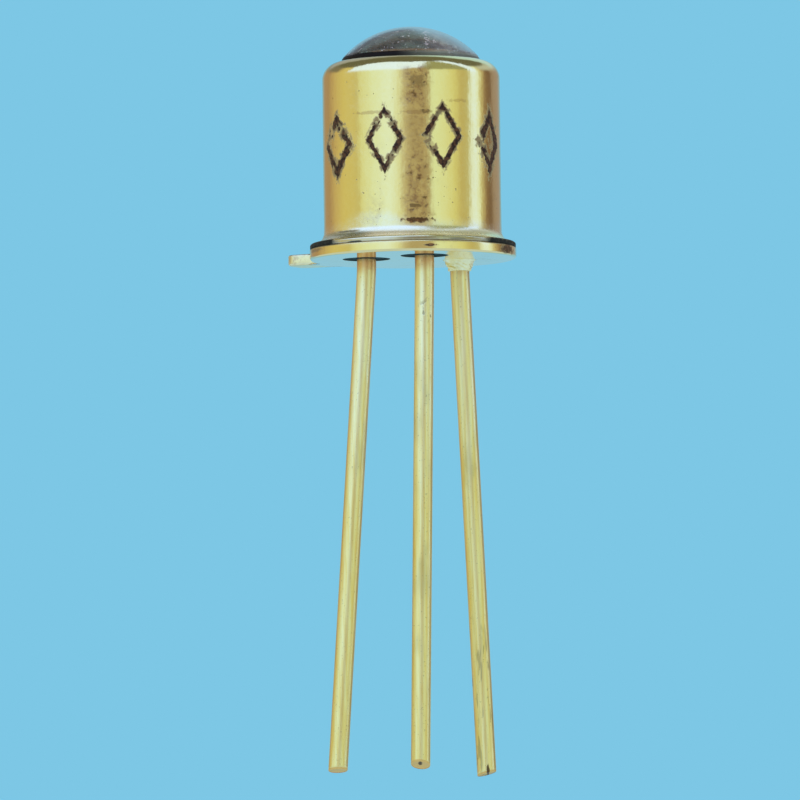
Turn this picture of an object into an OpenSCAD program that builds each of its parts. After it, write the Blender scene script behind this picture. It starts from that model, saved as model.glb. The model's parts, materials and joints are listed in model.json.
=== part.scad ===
// Metal-can phototransistor with a domed glass window and three wire leads.
// Millimetres. The origin is the centre of the header's underside and +Z runs up
// the optical axis. The tab points to the back left, the base lead to the front.

/* [Can] */

// outside diameter of the can's wall
can_od = 4.72; // [4.6:0.01:4.8]

// thickness of the can's metal
can_wall = 0.2; // [0.12:0.01:0.25]

// height of the can's flat top above the seating plane
can_top = 5.25; // [4.4:0.01:5.6]

// outside radius of the rounded shoulder
shoulder_r = 0.45; // [0.36:0.01:0.5]

// diameter of the window opening in the can's top
opening_d = 3.68; // [3.2:0.02:3.7]

// diameter of the can's welded brim
brim_d = 5.46; // [5.36:0.01:5.48]

// thickness of the brim
brim_t = 0.14; // [0.11:0.01:0.2]

// rounding of the brim's upper edge
brim_edge_r = 0.06; // [0.03:0.01:0.06]

// fillet between the can's wall and its brim
foot_r = 0.3; // [0.1:0.01:0.3]

// rounding inside the can's bottom corner
foot_in_r = 0.1; // [0.04:0.01:0.1]

/* [Window] */

// radius of the dome's outer sphere
dome_r = 2.415; // [2.1:0.005:3]

// upright glass edge between the opening and the dome
dome_edge_h = 0.1; // [0.04:0.01:0.2]

// depth of the glass skirt below the can's inner top
skirt_h = 0.5; // [0.3:0.01:0.9]

// radius of the skirt's hollowed underside
skirt_hollow_r = 9; // [6:0.1:30]

// depth of that hollow at the axis
skirt_hollow_h = 0.06; // [0.02:0.01:0.15]

/* [Header] */

// diameter of the header's flange
flange_d = 5.48; // [5.44:0.01:5.84]

// thickness of the header's flange
flange_t = 0.29; // [0.2:0.01:0.35]

// rounding of the flange's lower edge
flange_low_r = 0.07; // [0.02:0.01:0.09]

// rounding of the flange's upper edge
flange_top_r = 0.04; // [0.02:0.01:0.08]

// diameter of the platform inside the can
platform_d = 4.1; // [3.9:0.02:4.12]

// height of the platform's top above the seating plane
platform_top = 0.84; // [0.7:0.01:1.1]

// rounding of the platform's upper edge
platform_edge_r = 0.06; // [0.02:0.01:0.1]

// reach of the index tab from the axis
tab_reach = 3.73; // [3.4:0.01:3.95]

// width of the index tab
tab_w = 1.0; // [0.9:0.01:1.17]

// rounding of the tab's two corners
tab_corner_r = 0.32; // [0.1:0.01:0.4]

// length of the tab's root inside the flange
tab_root = 0.4; // [0.2:0.05:0.6]

// direction of the tab, in degrees from +X
tab_dir = 135; // [130:1:140]

/* [Seals] */

// diameter of the holes through the header
seal_d = 1.26; // [1.1:0.01:1.3]

// dip of the glass between the lead and the hole
seal_dip = 0.045; // [0.02:0.005:0.08]

// width of the sloping glass at the lead and at the hole
seal_slope_w = 0.11; // [0.05:0.01:0.15]

/* [Leads] */

// diameter of the circle that the leads stand on
lead_circle_d = 2.54; // [2.5:0.01:2.58]

// diameter of each lead
lead_d = 0.51; // [0.41:0.01:0.52]

// height of the inner posts above the platform
post_h = 0.4; // [0.2:0.01:0.6]

// straight length of the emitter lead below the seating plane
root_emitter = 0.3; // [0.2:0.05:2]

// straight length of the base lead below the seating plane
root_base = 0.3; // [0.2:0.05:2]

// straight length of the collector lead below the seating plane
root_collector = 0.4; // [0.3:0.05:2]

// reach of the emitter lead below the seating plane
emitter_l = 13.62; // [12.7:0.01:16]

// reach of the base lead below the seating plane
base_l = 13.55; // [12.7:0.01:16]

// reach of the collector lead below the seating plane
collector_l = 13.71; // [12.7:0.01:16]

// outward lean of the emitter lead in degrees
emitter_angle = 4.05; // [2:0.05:5]

// sideways lean of the base lead in degrees
base_angle = 1.2; // [0.5:0.05:2]

// outward lean of the collector lead in degrees
collector_angle = 2.45; // [1:0.05:5]

// chamfer on the cut ends
tip_chamfer = 0.05; // [0.02:0.01:0.1]

/* [Collector weld] */

// diameter of the weld bead at the header
bead_d = 0.86; // [0.78:0.01:0.95]

// depth to which the bead and the lead melt into the header
bead_sink = 0.05; // [0.03:0.01:0.08]

// diameter of the bead's waist
bead_waist_d = 0.74; // [0.62:0.01:0.76]

// height of the waist below the header
bead_waist_h = 0.11; // [0.06:0.01:0.14]

// diameter at the bead's end
bead_end_d = 0.56; // [0.54:0.01:0.6]

// height of the bead below the header
bead_h = 0.3; // [0.22:0.01:0.4]

/* [Chip] */

// side of the square silicon chip
die_w = 0.76; // [0.5:0.01:0.95]

// thickness of the chip
die_t = 0.22; // [0.15:0.01:0.3]

// side of the solder layer under the chip
attach_w = 0.88; // [0.78:0.01:1.1]

// thickness of the solder layer
attach_t = 0.025; // [0.02:0.005:0.04]

// corner rounding of the solder layer
attach_corner_r = 0.12; // [0.05:0.01:0.2]

// side of each metal contact
pad_w = 0.15; // [0.12:0.01:0.2]

// thickness of each metal contact
pad_t = 0.012; // [0.01:0.002:0.02]

// distance of each contact's centre from the chip's centre lines
pad_out = 0.24; // [0.15:0.01:0.27]

// sideways offset of each contact
pad_side = 0.14; // [0.05:0.01:0.2]

/* [Bond wires] */

// diameter of the bond wires
wire_d = 0.04; // [0.03:0.005:0.05]

// diameter of the ball on the chip's contact
ball_d = 0.1; // [0.08:0.01:0.11]

// height of the ball
ball_h = 0.04; // [0.03:0.005:0.05]

// height of each wire's upright start above the contact
wire_rise = 0.24; // [0.15:0.01:0.35]

// height of each wire's highest point above the contact
wire_peak = 0.36; // [0.36:0.01:0.5]

// distance from the upright start to the highest point
wire_peak_out = 0.2; // [0.1:0.01:0.3]

// diameter of the foot on the post
foot_d = 0.12; // [0.08:0.01:0.16]

// height of the foot
foot_h = 0.045; // [0.045:0.005:0.06]

/* [Hidden] */

$fn = 96;
// cuts run past the faces they open by this much
cut_over = 0.1;
// the glass is fused to the metal, so its clearances are nil
seal_gap = 0;
lens_gap = 0;
// the round elbows stand this much proud of the wires they join
elbow_swell = 0.002;
// the wire enters the foot at this share of its height
foot_grip = 0.55;
// each foot stands this much inside the post's middle
foot_shift = 0.03;
// the fillet leaves at least this much of the brim's top flat
brim_flat = 0.01;

can_or = can_od / 2;
can_ir = can_or - can_wall;
shoulder_in_r = shoulder_r - can_wall;
top_in = can_top - can_wall;
open_r = opening_d / 2;
brim_r = brim_d / 2;
brim_top = flange_t + brim_t;
foot_fit_r = min(foot_r, brim_r - can_or - brim_edge_r - brim_flat);

dome_base = can_top + dome_edge_h;
dome_c = dome_base - sqrt(dome_r * dome_r - open_r * open_r);

flange_r = flange_d / 2;
platform_r = platform_d / 2;
seal_r = seal_d / 2;
lead_r = lead_d / 2;
lead_circle_r = lead_circle_d / 2;
post_top = platform_top + post_h;

emitter_at = [-lead_circle_r, 0];
base_at = [0, -lead_circle_r];
collector_at = [lead_circle_r, 0];

die_bottom = platform_top + attach_t;
die_top = die_bottom + die_t;
pad_top = die_top + pad_t;
emitter_pad_at = [-pad_out, pad_side];
base_pad_at = [pad_side, -pad_out];

gold = [0.83, 0.68, 0.36];
smoke = [0.3, 0.3, 0.32, 0.6];
seal_glass = [0.1, 0.14, 0.14];
silicon = [0.25, 0.25, 0.3];
solder = [0.8, 0.72, 0.5];
contact_metal = [0.86, 0.86, 0.86];

// a rectangle from the axis outwards, between two heights
module band(r, z0, z1) {
    translate([0, z0])
        square([r, z1 - z0]);
}

// a rectangle from the axis, its upper outer corner rounded
module round_top_band(r, z0, z1, corner) {
    band(r - corner, z0, z1);
    translate([r - corner, z0])
        square([corner, z1 - corner - z0]);
    intersection() {
        translate([r - corner, z1 - corner])
            circle(corner);
        translate([r - corner, z1 - corner])
            square(corner);
    }
}

// a square corner with the quarter circle taken out of it, hollow side up and out
module fillet_corner(r, z, corner) {
    difference() {
        translate([r, z])
            square(corner);
        translate([r + corner, z + corner])
            circle(corner);
    }
}

// drawn can: wall, shoulder, flat top round the opening, brim with its fillet
module can_shell() {
    color(gold)
        rotate_extrude()
            difference() {
                union() {
                    round_top_band(can_or, flange_t, can_top, shoulder_r);
                    round_top_band(brim_r, flange_t, brim_top, brim_edge_r);
                    fillet_corner(can_or, brim_top, foot_fit_r);
                }
                round_top_band(can_ir, flange_t, top_in, shoulder_in_r);
                band(open_r, top_in - cut_over, can_top + cut_over);
                difference() {
                    translate([can_ir, flange_t])
                        square(foot_in_r);
                    translate([can_ir + foot_in_r, flange_t + foot_in_r])
                        circle(foot_in_r);
                }
            }
}

// fused window: dome, upright edge, plug in the opening and the skirt below it
module lens() {
    color(smoke)
        rotate_extrude()
            difference() {
                union() {
                    intersection() {
                        translate([0, dome_c])
                            circle(dome_r);
                        band(open_r, dome_base, dome_base + dome_r);
                    }
                    band(open_r - lens_gap, top_in, dome_base);
                    round_top_band(can_ir - lens_gap, top_in - skirt_h, top_in, shoulder_in_r);
                }
                translate([0, top_in - skirt_h + skirt_hollow_h - skirt_hollow_r])
                    circle(skirt_hollow_r);
            }
}

// disc with its flange, platform and tab, bored for the seals, dimpled for the weld
module header() {
    color(gold)
        difference() {
            union() {
                rotate_extrude()
                    difference() {
                        union() {
                            round_top_band(flange_r, 0, flange_t, flange_top_r);
                            round_top_band(platform_r, 0, platform_top, platform_edge_r);
                        }
                        difference() {
                            translate([flange_r - flange_low_r, 0])
                                square(flange_low_r);
                            translate([flange_r - flange_low_r, flange_low_r])
                                circle(flange_low_r);
                        }
                    }
                rotate([0, 0, tab_dir])
                    linear_extrude(flange_t)
                        index_tab();
            }
            at_lead(emitter_at)
                seal_bore();
            at_lead(base_at)
                seal_bore();
            at_lead(collector_at)
                translate([0, 0, -cut_over])
                    cylinder(r = bead_d / 2, h = cut_over + bead_sink);
        }
}

// outline of the tab, from inside the flange to its rounded end
module index_tab() {
    translate([flange_r - tab_root, -tab_w / 2])
        square([tab_reach - tab_corner_r - flange_r + tab_root, tab_w]);
    translate([tab_reach - tab_corner_r, -tab_w / 2 + tab_corner_r])
        square([tab_corner_r, tab_w - 2 * tab_corner_r]);
    for (side = [-1, 1])
        intersection() {
            translate([tab_reach - tab_corner_r, side * (tab_w / 2 - tab_corner_r)])
                circle(tab_corner_r);
            translate([tab_reach - tab_corner_r, side > 0 ? tab_w / 2 - tab_corner_r : -tab_w / 2])
                square(tab_corner_r);
        }
}

module at_lead(xy) {
    translate([xy[0], xy[1], 0])
        children();
}

module seal_bore() {
    translate([0, 0, -cut_over])
        cylinder(r = seal_r + seal_gap, h = platform_top + 2 * cut_over);
}

// glass ring that wets the lead and the hole, with a dip between them at both ends
module seal_ring() {
    color(seal_glass)
        rotate_extrude()
            polygon([
                [lead_r, 0],
                [lead_r + seal_slope_w, seal_dip],
                [seal_r - seal_slope_w, seal_dip],
                [seal_r, 0],
                [seal_r, platform_top],
                [seal_r - seal_slope_w, platform_top - seal_dip],
                [lead_r + seal_slope_w, platform_top - seal_dip],
                [lead_r, platform_top]
            ]);
}

module seal_emitter() {
    at_lead(emitter_at)
        seal_ring();
}

module seal_base() {
    at_lead(base_at)
        seal_ring();
}

// a round bar along +Z with a chamfer on its far end
module chamfered_bar(r, length, chamfer) {
    rotate_extrude()
        polygon([[0, 0], [r, 0], [r, length - chamfer], [r - chamfer, length], [0, length]]);
}

// round wire: straight root, one slight bend, straight leaning stretch
module wire_lead(top_z, root_l, reach_l, lean, dir, top_chamfer) {
    run = (reach_l - root_l) / cos(lean);
    color(gold)
        union() {
            translate([0, 0, -root_l])
                chamfered_bar(lead_r, top_z + root_l, top_chamfer);
            translate([0, 0, -root_l])
                sphere(lead_r + elbow_swell);
            translate([0, 0, -root_l])
                rotate([0, 180 - lean, dir])
                    chamfered_bar(lead_r, run, tip_chamfer);
        }
}

module lead_emitter() {
    at_lead(emitter_at)
        wire_lead(post_top, root_emitter, emitter_l, emitter_angle, 180, tip_chamfer / 2);
}

module lead_base() {
    at_lead(base_at)
        wire_lead(post_top, root_base, base_l, base_angle, 180, tip_chamfer / 2);
}

module lead_collector() {
    at_lead(collector_at)
        wire_lead(bead_sink, root_collector, collector_l, collector_angle, 0, tip_chamfer / 2);
}

// bead round the top of the collector lead, sunk a little into the header
module collector_weld() {
    color(gold)
        at_lead(collector_at)
            rotate_extrude()
                polygon([
                    [lead_r, bead_sink],
                    [bead_d / 2, bead_sink],
                    [bead_d / 2, 0],
                    [bead_waist_d / 2, -bead_waist_h],
                    [bead_end_d / 2, -bead_h],
                    [lead_r, -bead_h]
                ]);
}

module die() {
    color(silicon)
        translate([-die_w / 2, -die_w / 2, die_bottom])
            cube([die_w, die_w, die_t]);
}

// solder layer, a square with rounded corners
module die_attach() {
    inner = attach_w - 2 * attach_corner_r;
    color(solder)
        translate([0, 0, platform_top])
            linear_extrude(attach_t) {
                square([attach_w, inner], center = true);
                square([inner, attach_w], center = true);
                for (x = [-1, 1], y = [-1, 1])
                    intersection() {
                        translate([x * inner / 2, y * inner / 2])
                            circle(attach_corner_r);
                        translate([x > 0 ? inner / 2 : -attach_w / 2, y > 0 ? inner / 2 : -attach_w / 2])
                            square(attach_corner_r);
                    }
            }
}

module contact_pad(xy) {
    color(contact_metal)
        translate([xy[0] - pad_w / 2, xy[1] - pad_w / 2, die_top])
            cube([pad_w, pad_w, pad_t]);
}

module emitter_pad() {
    contact_pad(emitter_pad_at);
}

module base_pad() {
    contact_pad(base_pad_at);
}

// a straight piece of bond wire between two points of the wire's own plane
module wire_piece(from, to) {
    step = to - from;
    translate([from[0], 0, from[1]])
        rotate([0, atan2(step[0], step[1]), 0])
            cylinder(r = wire_d / 2, h = norm(step));
}

module wire_elbow(at) {
    translate([at[0], 0, at[1]])
        sphere(wire_d / 2 + elbow_swell);
}

// ball on the contact, upright start, peak, long slope down to the foot on the post
module bond_wire(from, to) {
    reach = norm(to - from);
    heading = atan2(to[1] - from[1], to[0] - from[0]);
    knee = [0, pad_top + wire_rise];
    peak = [wire_peak_out, pad_top + wire_peak];
    end = [reach, post_top + foot_grip * foot_h];
    color(gold)
        translate([from[0], from[1], 0])
            rotate([0, 0, heading])
                union() {
                    translate([0, 0, pad_top])
                        cylinder(r = ball_d / 2, h = ball_h);
                    wire_piece([0, pad_top + ball_h / 2], knee);
                    wire_elbow(knee);
                    wire_piece(knee, peak);
                    wire_elbow(peak);
                    wire_piece(peak, end);
                    translate([reach, 0, post_top])
                        cylinder(r = foot_d / 2, h = foot_h);
                }
}

module emitter_wire() {
    bond_wire(emitter_pad_at, emitter_at + [foot_shift, 0]);
}

module base_wire() {
    bond_wire(base_pad_at, base_at + [0, foot_shift]);
}

can_shell();
lens();
header();
seal_emitter();
seal_base();
lead_emitter();
lead_base();
lead_collector();
collector_weld();
die();
die_attach();
emitter_pad();
base_pad();
emitter_wire();
base_wire();
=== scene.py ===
import json
from functools import partialmethod, reduce
from math import acos, asin, atan2, cos, hypot, pi, radians, sin, sqrt, tan

import bmesh
import bpy
import numpy as np
from mathutils import Matrix, Vector
from mathutils.geometry import delaunay_2d_cdt


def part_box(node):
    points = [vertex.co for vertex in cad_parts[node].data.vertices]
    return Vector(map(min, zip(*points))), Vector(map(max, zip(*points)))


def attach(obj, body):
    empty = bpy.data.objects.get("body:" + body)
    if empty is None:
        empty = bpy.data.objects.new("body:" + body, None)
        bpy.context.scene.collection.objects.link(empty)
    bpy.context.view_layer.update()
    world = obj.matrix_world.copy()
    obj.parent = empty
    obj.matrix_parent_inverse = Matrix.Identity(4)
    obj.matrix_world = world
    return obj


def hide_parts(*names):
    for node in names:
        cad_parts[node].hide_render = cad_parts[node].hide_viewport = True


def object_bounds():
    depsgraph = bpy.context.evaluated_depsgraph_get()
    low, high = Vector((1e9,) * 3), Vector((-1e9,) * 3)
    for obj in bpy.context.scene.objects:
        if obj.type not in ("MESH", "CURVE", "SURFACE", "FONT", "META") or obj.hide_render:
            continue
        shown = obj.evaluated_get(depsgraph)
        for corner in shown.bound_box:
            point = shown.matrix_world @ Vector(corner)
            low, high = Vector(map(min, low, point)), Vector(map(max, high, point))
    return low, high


# Metal-can phototransistor with a domed glass window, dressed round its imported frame.
# Lengths in this script are millimetres and turn into metres as each mesh is written.

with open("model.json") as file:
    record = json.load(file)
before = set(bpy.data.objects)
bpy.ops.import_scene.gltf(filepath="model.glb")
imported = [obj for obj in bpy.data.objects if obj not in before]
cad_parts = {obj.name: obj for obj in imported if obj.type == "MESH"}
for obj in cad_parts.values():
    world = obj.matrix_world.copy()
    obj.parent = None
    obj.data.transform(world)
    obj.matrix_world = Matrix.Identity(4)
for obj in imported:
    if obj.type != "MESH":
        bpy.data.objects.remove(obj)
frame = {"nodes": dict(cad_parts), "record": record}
cadLow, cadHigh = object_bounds()
metre = 0.001
print("frame loaded:", len(frame["nodes"]), "nodes")


def boxOf(node):
    low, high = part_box(node)
    return np.array(low) / metre, np.array(high) / metre


# middle of a CAD node in plan, and half its width
def planOf(node):
    low, high = boxOf(node)
    return (low + high)[:2] / 2, (high - low)[0] / 2


# a mount of the record: its point, axis and radius, in millimetres
def mountOf(name):
    found = next(m for m in frame["record"]["mounts"] if m["name"] == name)
    return np.array(found["pos_m"]) / metre, np.array(found["axis"]), found["dims"]["r_mm"]


def pick(settings, *keys):
    return [settings[key] for key in keys]


wallRadius = mountOf("can_barrel")[2]


# Shader signals

# a shader socket that takes Python's arithmetic, each operator adding one Math node
class Signal:
    def __init__(self, pen, socket):
        self.pen = pen
        self.socket = socket

    def ahead(self, operation, *others):
        return self.pen.maths(operation, self, *others)

    def behind(self, operation, other):
        return self.pen.maths(operation, other, self)

    __add__ = partialmethod(ahead, "ADD")
    __radd__ = partialmethod(behind, "ADD")
    __sub__ = partialmethod(ahead, "SUBTRACT")
    __rsub__ = partialmethod(behind, "SUBTRACT")
    __mul__ = partialmethod(ahead, "MULTIPLY")
    __rmul__ = partialmethod(behind, "MULTIPLY")
    __truediv__ = partialmethod(ahead, "DIVIDE")
    __rtruediv__ = partialmethod(behind, "DIVIDE")
    __pow__ = partialmethod(ahead, "POWER")
    __abs__ = partialmethod(ahead, "ABSOLUTE")
    lower = partialmethod(ahead, "MINIMUM")
    higher = partialmethod(ahead, "MAXIMUM")

    # 0 below start, 1 above end, an S curve between; start may be the larger one
    def rise(self, start, end):
        settings = {"interpolation_type": "SMOOTHSTEP"}
        return self.pen.add("MapRange", settings, {0: self, 1: start, 2: end})

    # 1 between low and high with edges of that softness, 0 outside
    def window(self, low, high, soft):
        return self.rise(low - soft, low + soft) * self.rise(high + soft, high - soft)


def highest(signals):
    return reduce(lambda a, b: a.higher(b), signals)


# the node tree of a material or the world; every node in it comes from add
class Pen:
    def __init__(self, owner):
        owner.use_nodes = True
        self.owner = owner
        self.tree = owner.node_tree
        self.tree.nodes.clear()

    def add(self, kind, settings=None, inputs=None, out=0):
        node = self.tree.nodes.new("ShaderNode" + kind)
        for name, value in (settings or {}).items():
            setattr(node, name, value)
        for name, value in (inputs or {}).items():
            if isinstance(value, Signal):
                self.tree.links.new(value.socket, node.inputs[name])
            else:
                node.inputs[name].default_value = value
        return Signal(self, node.outputs[out]) if node.outputs else node

    def maths(self, operation, *terms):
        return self.add("Math", {"operation": operation}, dict(enumerate(terms)))

    # scale counts features in a millimetre: one number, or one for each axis
    def noise(self, scale, detail=2.0, roughness=0.5, over=None):
        vector = over or self.place
        if isinstance(scale, tuple):
            vector = self.add("VectorMath", {"operation": "MULTIPLY"}, {0: vector, 1: scale})
            scale = 1.0
        inputs = {"Vector": vector, "Scale": scale, "Detail": detail, "Roughness": roughness}
        return self.add("TexNoise", inputs=inputs)

    def blend(self, factor, first, second):
        inputs = {0: factor}
        for socket, colour in ((6, first), (7, second)):
            inputs[socket] = colour if isinstance(colour, Signal) else (*colour, 1.0)
        return self.add("Mix", {"data_type": "RGBA"}, inputs, out=2)

    # colours laid over each other, each with its cover
    def coats(self, colour, *coats):
        for cover, coat in coats:
            colour = self.blend(cover, colour, coat)
        return colour

    # relief is a bump's height, strength and depth
    def principled(self, colour, metallic, roughness, relief=None, others=None):
        inputs = {"Base Color": colour, "Metallic": metallic, "Roughness": roughness, **(others or {})}
        if relief:
            bump = {"Height": relief[0], "Strength": relief[1], "Distance": relief[2] * metre}
            inputs["Normal"] = self.add("Bump", inputs=bump)
        return self.add("BsdfPrincipled", inputs=inputs)

    def mix(self, factor, first, second):
        return self.add("MixShader", inputs={0: factor, 1: first, 2: second})

    def finish(self, shader, output="OutputMaterial"):
        self.add(output, inputs={0: shader})
        return self.owner


# the pen of a new material, with the piece's own coordinates in millimetres, whole and split
def paint(name):
    pen = Pen(bpy.data.materials.new(name))
    coordinates = pen.add("TexCoord", out=3)
    pen.place = pen.add("VectorMath", {"operation": "SCALE"}, {0: coordinates, 3: 1 / metre})
    parts = pen.add("SeparateXYZ", inputs={0: pen.place})
    pen.at = [Signal(pen, socket) for socket in parts.socket.node.outputs]
    return pen


# how far round from the camera's side, in radians, plus to the right, less some degrees
def sideways(pen, degrees=0.0):
    away = pen.maths("ARCTAN2", pen.at[1], pen.at[0]) - (facing + radians(degrees))
    return pen.maths("WRAP", away, pi, -pi)


def inDegrees(turn):
    return turn * (180 / pi)


# distance from the axis, or from the middle
def radialOf(at):
    return (at[0] * at[0] + at[1] * at[1]) ** 0.5


# 1 in an ellipse with a ragged edge, from the two distances in half sizes
def spotAt(across, above, ragged):
    return (radialOf((across, above)) + ragged).rise(1.2, 0.6)


# how deep a point lies in one of the patches listed as degrees, height, half sizes and depth
def patches(pen, marks, radius, ragged):
    spots = []
    for degrees, height, halfWidth, halfHeight, depth in marks:
        across = sideways(pen, degrees) * (radius / halfWidth)
        spots.append(spotAt(across, (pen.at[2] - height) / halfHeight, ragged) * depth)
    return highest(spots)


# Shells: points, four-sided faces and triangles

def addToScene(name, data):
    made = bpy.data.objects.new(name, data)
    bpy.context.scene.collection.objects.link(made)
    return made


def addObject(name, shell, material, smooth=True):
    points, quads, tris = shell
    mesh = bpy.data.meshes.new(name)
    mesh.vertices.add(len(points))
    mesh.vertices.foreach_set("co", (points * metre).astype(np.float32).ravel())
    corners = np.concatenate([quads.ravel(), tris.ravel()]).astype(np.int32)
    sizes = np.repeat([4, 3], [len(quads), len(tris)])
    mesh.loops.add(len(corners))
    mesh.loops.foreach_set("vertex_index", corners)
    mesh.polygons.add(len(sizes))
    mesh.polygons.foreach_set("loop_start", (np.cumsum(sizes) - sizes).astype(np.int32))
    mesh.polygons.foreach_set("use_smooth", np.full(len(sizes), smooth))
    mesh.update(calc_edges=True)
    mesh.validate()
    mesh.materials.append(material)
    return addToScene(name, mesh)


# a piece of the part: it rides on the only body and stands for its CAD node
def addPiece(name, shell, material, node, sharp=40.0):
    piece = addObject(name, shell, material)
    piece.data.set_sharp_from_angle(angle=radians(sharp))
    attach(piece, "root")
    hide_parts(node)
    return piece


# a skin over rows of points: row i joins row i + 1 and each row closes on itself.
# The end rows are fanned to their middles, left open, or joined to each other (a ring shape).
def skin(rows, ends="fan"):
    count, around = rows.shape[:2]
    index = np.arange(count * around).reshape(count, around)
    beside = np.roll(index, -1, axis=1)
    low = np.arange(count if ends == "ring" else count - 1)
    high = (low + 1) % count
    quads = columns(index[low], beside[low], beside[high], index[high]).reshape(-1, 4)
    points = rows.reshape(-1, 3)
    tris = np.zeros((0, 3), int)
    if ends == "fan":
        points = np.vstack([points, rows[0].mean(axis=0), rows[-1].mean(axis=0)])
        first = np.full(around, count * around)
        start = columns(beside[0], index[0], first)
        end = columns(index[-1], beside[-1], first + 1)
        tris = np.vstack([start, end])
    return points, quads, tris


# joins several shells into one, their indices moved on
def joined(shells):
    offsets = np.cumsum([0] + [len(points) for points, _, _ in shells])
    points, quads, tris = zip(*shells)
    moved = [np.vstack([faces + offset for faces, offset in zip(kind, offsets)]) for kind in (quads, tris)]
    return np.vstack(points), *moved


def columns(*parts):
    return np.stack(parts, axis=-1)


def circle(count):
    return np.arange(count) * 2 * pi / count


# points of an arc in the (r, z) plane, angles in degrees from +r towards +z
def arc(r, z, radius, start, end, count):
    turn = np.radians(np.linspace(start, end, count))
    return columns(r + radius * np.cos(turn), z + radius * np.sin(turn))


def span(start, end, count):
    share = np.linspace(0, 1, count)[:, None]
    return np.array(start) * (1 - share) + np.array(end) * share


# a profile of (r, z) points carried round an upright axis through centre
def turned(profile, around, centre=(0.0, 0.0)):
    turn = circle(around)
    r, z = profile[:, :1], profile[:, 1:]
    x, y = centre[0] + r * np.cos(turn), centre[1] + r * np.sin(turn)
    return columns(x, y, z + np.zeros(around))


# smooth lumps on a turned surface: a sum of waves round the axis and along z, between 0 and 1
def lumps(turn, z, seed, count, waves, pitch):
    rng = np.random.default_rng(seed)
    total = np.zeros(np.broadcast(turn, z).shape)
    for _ in range(count):
        order = rng.integers(1, waves + 1)
        rate = 2 * pi / (pitch * rng.uniform(0.6, 2.0))
        total += np.cos(order * turn + rate * z + rng.uniform(0, 2 * pi))
    return (1 + total / count) / 2


# View of the photograph

view = {
    "azimuth": -13.6,  # degrees, from straight at the base lead towards the emitter's side
    "elevation": -4.1,  # the camera looks slightly up at the header
    "roll": 0.7,  # the can leans this much to the left in the frame
    "pixels": 800,
    "scale": 37.7,  # pixels in a millimetre at the object
    "originAt": (413.1, 259.7),  # pixel of the header's underside on the axis
    "lens": 400.0,
    "sensor": 36.0,
}
facing = radians(view["azimuth"] - 90)  # from the axis to the camera, in radians


def makeCamera():
    data = bpy.data.cameras.new("camera")
    data.lens = view["lens"]
    data.sensor_width = view["sensor"]
    data.clip_start = 0.01
    data.clip_end = 10.0
    camera = addToScene("camera", data)
    a, e, roll = (radians(angle) for angle in pick(view, "azimuth", "elevation", "roll"))
    back = Vector((sin(a) * cos(e), -cos(a) * cos(e), sin(e)))
    level = (-back).to_track_quat("-Z", "Y").to_matrix()
    # the frame's middle, as steps from the origin's pixel turned back by the roll
    middle = view["pixels"] / 2
    across = (middle - view["originAt"][0]) / view["scale"]
    above = (view["originAt"][1] - middle) / view["scale"]
    x = across * cos(roll) + above * sin(roll)
    y = above * cos(roll) - across * sin(roll)
    distance = view["pixels"] * view["lens"] / (view["sensor"] * view["scale"])
    camera.location = (level @ Vector((x, y, distance))) * metre
    camera.rotation_euler = (level @ Matrix.Rotation(-roll, 3, "Z")).to_euler()
    bpy.context.scene.camera = camera


makeCamera()
print("camera placed")


# Can

gold = {
    "fresh": (0.93, 0.71, 0.32),
    "pale": (0.95, 0.77, 0.42),
    "brown": (0.36, 0.17, 0.08),
    "spot": (0.2, 0.11, 0.04),
    "copper": (0.62, 0.27, 0.11),
    "bare": (0.93, 0.81, 0.58),  # where the plating is worn thin
    "fillet": (0.86, 0.8, 0.48),
    "oxideAndShade": (0.022, 0.02, 0.016),  # dark of the seam, of marks and stains, and painted shade at the seam's visible ends
}
dielectric = {"Specular IOR Level": 0.12}

# worn ink: degrees to the right of the camera's side, height, half width and stroke of each lozenge
inkMarks = {
    "places": (
        (-57.0, 2.92, 0.68, 0.32), (-17.8, 3.00, 0.55, 0.2),
        (20.4, 3.08, 0.58, 0.2), (60.5, 3.00, 0.6, 0.36),
    ),
    "halfHeight": 0.94,
    "colour": (0.036, 0.016, 0.014),
    "thin": (0.19, 0.078, 0.034),
}

canFinish = {
    "roughness": 0.11,
    "wornHeight": 0.82,  # the foot of the wall is pale up to here, and higher at the front left
    "wornExtra": 0.24,
    "brimTop": 0.43,
    "brimRadius": 2.73,
    "brimFrom": (2.58, 2.66),  # the brim's edge begins between these radii
    "brimBareFrom": (2.6, 2.66),
    "brimBare": ((0.66, 0.57, 0.46), (0.46, 0.39, 0.28)),  # left and right
    "shadedEnds": (43, 52),  # painted shade on the brim beyond these sides, where its seam is seen along its length
    "filletTop": (0.68, 0.56),
    "filletOut": (2.68, 2.6),
    "stainsAndReflection": (-4.0, 11.0),  # the painted reflection of the dark room behind the camera runs down the wall between these sides, mottled like stains, and is worst between these heights, and these
    "stripLow": (0.95, 2.5),  # and is worst between these heights, and these
    "stripHigh": (3.95, 4.9),
    # dark patches: degrees to the right, height, half width, half height, depth
    "stains": (
        (3.4, 0.85, 0.38, 0.065, 1.0), (2.0, 1.22, 0.16, 0.05, 0.6), (4.0, 4.5, 0.24, 0.2, 0.4),
        (8.5, 3.72, 0.14, 0.06, 0.6),
    ),
    # dark marks on the brim's edge and at its seam: the same five numbers
    "brimMarks": ((-34.0, 0.3, 0.24, 0.03, 1.0), (26.0, 0.335, 0.3, 0.03, 0.45)),
    # faint smears of the ink: the same five numbers
    "smears": ((-27.0, 3.72, 0.45, 0.05, 0.4), (5.0, 3.7, 0.42, 0.07, 0.45), (32.0, 4.02, 0.3, 0.05, 0.3)),
    "filletLine": (-47.0, 0.625, 13.0, 0.022),  # dark line in the fillet: middle, height, reach, half height
}


# how far off one hollow lozenge's outline a point is, in halves of the stroke
def lozengeOff(across, above, halfWidth, stroke):
    slant = abs(across) / halfWidth + abs(above) / inkMarks["halfHeight"]
    half = stroke / (2 * halfWidth)
    return abs(slant - (1 - half)) / half


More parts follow.
